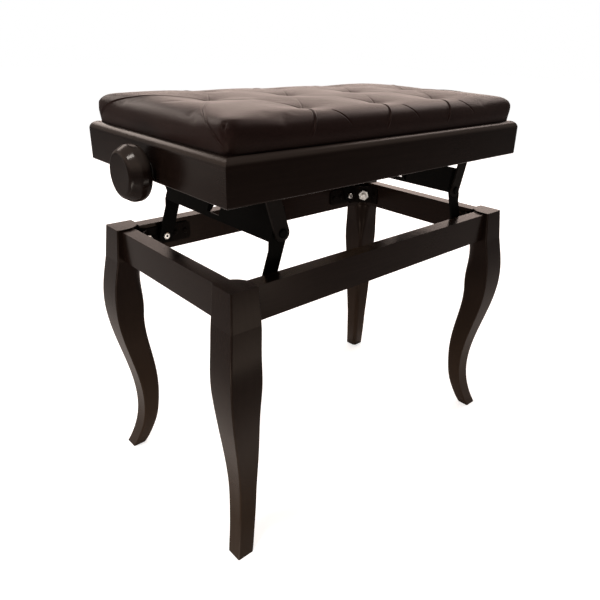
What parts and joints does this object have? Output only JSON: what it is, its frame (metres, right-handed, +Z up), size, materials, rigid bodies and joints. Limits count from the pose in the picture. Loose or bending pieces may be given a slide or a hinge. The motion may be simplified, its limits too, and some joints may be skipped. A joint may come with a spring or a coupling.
{
  "type": "adjustable piano bench",
  "caption": "Rectangular tufted bench on cabriole legs; side knobs turn a screw spindle that drives a scissor lift to raise and lower the padded seat.",
  "frame": {"origin": "on the floor under the middle of the bench", "axes": "+X along the bench to the right, +Y to the back, +Z up; the seat is at its highest"},
  "size_m": [0.633, 0.3432, 0.5748],
  "materials": {
    "lacquered_wood": "very dark brown satin lacquer",
    "block_wood": "bare planed wood",
    "plywood": "bare plywood",
    "leatherette": "dark brown leatherette, fine grain, soft sheen",
    "black_steel": "black painted sheet steel",
    "zinc_steel": "bright zinc plate",
    "spindle_steel": "oiled bright steel",
    "bush_plastic": "black nylon"
  },
  "bodies": {
    "lower_frame": {"leg_front_left": "lacquered_wood", "leg_front_right": "lacquered_wood", "leg_rear_left": "lacquered_wood", "leg_rear_right": "lacquered_wood", "front_rail": "lacquered_wood", "rear_rail": "lacquered_wood", "left_rail": "lacquered_wood", "right_rail": "lacquered_wood", "brace_front_left": "black_steel", "brace_front_right": "black_steel", "brace_rear_left": "black_steel", "brace_rear_right": "black_steel", "brace_screws": "black_steel", "leg_bolts": "zinc_steel", "leg_nuts": "zinc_steel", "lower_bracket_front_left": "black_steel", "lower_bracket_front_right": "black_steel", "lower_bracket_rear_left": "black_steel", "lower_bracket_rear_right": "black_steel", "lower_bracket_screws": "black_steel", "lower_pins": "zinc_steel"},
    "left_arm": {"arm_front_left": "black_steel", "arm_rear_left": "black_steel", "cross_plate_left": "black_steel", "knuckle_pins_left": "black_steel"},
    "right_arm": {"arm_front_right": "black_steel", "arm_rear_right": "black_steel", "cross_plate_right": "black_steel", "knuckle_pins_right": "black_steel"},
    "left_link": {"link_front_left": "black_steel", "link_rear_left": "black_steel"},
    "right_link": {"link_front_right": "black_steel", "link_rear_right": "black_steel"},
    "left_nut": {"spindle_nut_left": "spindle_steel"},
    "right_nut": {"spindle_nut_right": "spindle_steel"},
    "seat": {"apron_front": "lacquered_wood", "apron_rear": "lacquered_wood", "apron_left": "lacquered_wood", "apron_right": "lacquered_wood", "corner_block_front_left": "block_wood", "corner_block_front_right": "block_wood", "corner_block_rear_left": "block_wood", "corner_block_rear_right": "block_wood", "seat_board": "plywood", "seat_board_screws": "zinc_steel", "cushion": "leatherette", "upper_bracket_front_left": "black_steel", "upper_bracket_front_right": "black_steel", "upper_bracket_rear_left": "black_steel", "upper_bracket_rear_right": "black_steel", "upper_bracket_screws": "black_steel", "upper_pins": "black_steel", "bush_left": "bush_plastic", "bush_right": "bush_plastic"},
    "screw_spindle": {"spindle": "spindle_steel", "knob_left": "lacquered_wood", "knob_right": "lacquered_wood", "collar_left": "spindle_steel", "collar_right": "spindle_steel", "collar_screws": "spindle_steel"}
  },
  "joints": [
    {"name": "left_arm_pivot", "type": "hinge", "parent": "lower_frame", "child": "left_arm", "pos_m": [-0.199, 0, 0.362], "axis": [0, 1, 0], "range_deg": [0, 57.05]},
    {"name": "left_link_pivot", "type": "hinge", "parent": "left_arm", "child": "left_link", "pos_m": [-0.178, 0, 0.4275], "axis": [0, 1, 0], "range_deg": [-114.11, 0]},
    {"name": "seat_pivot", "type": "hinge", "parent": "left_link", "child": "seat", "pos_m": [-0.199, 0, 0.493], "axis": [0, 1, 0], "range_deg": [0, 57.05]},
    {"name": "left_nut_pivot", "type": "hinge", "parent": "left_arm", "child": "left_nut", "pos_m": [-0.157, 0, 0.493], "axis": [0, 1, 0], "range_deg": [-57.05, 0]},
    {"name": "right_arm_pivot", "type": "hinge", "parent": "lower_frame", "child": "right_arm", "pos_m": [0.199, 0, 0.362], "axis": [0, 1, 0], "range_deg": [-57.05, 0]},
    {"name": "right_link_pivot", "type": "hinge", "parent": "right_arm", "child": "right_link", "pos_m": [0.178, 0, 0.4275], "axis": [0, 1, 0], "range_deg": [0, 114.11]},
    {"name": "right_nut_pivot", "type": "hinge", "parent": "right_arm", "child": "right_nut", "pos_m": [0.157, 0, 0.493], "axis": [0, 1, 0], "range_deg": [0, 57.05]},
    {"name": "spindle_turn", "type": "hinge", "parent": "seat", "child": "screw_spindle", "pos_m": [0, 0, 0.493], "axis": [1, 0, 0], "range_deg": [0, 6536.7]}
  ],
  "couplings": [
    {"joint": "left_link_pivot", "follows": "left_arm_pivot", "ratio": -2},
    {"joint": "seat_pivot", "follows": "left_arm_pivot", "ratio": 1},
    {"joint": "left_nut_pivot", "follows": "left_arm_pivot", "ratio": -1},
    {"joint": "right_arm_pivot", "follows": "left_arm_pivot", "ratio": -1},
    {"joint": "right_link_pivot", "follows": "left_arm_pivot", "ratio": 2},
    {"joint": "right_nut_pivot", "follows": "left_arm_pivot", "ratio": 1},
    {"joint": "spindle_turn", "follows": "left_arm_pivot", "ratio": 114.56}
  ]
}
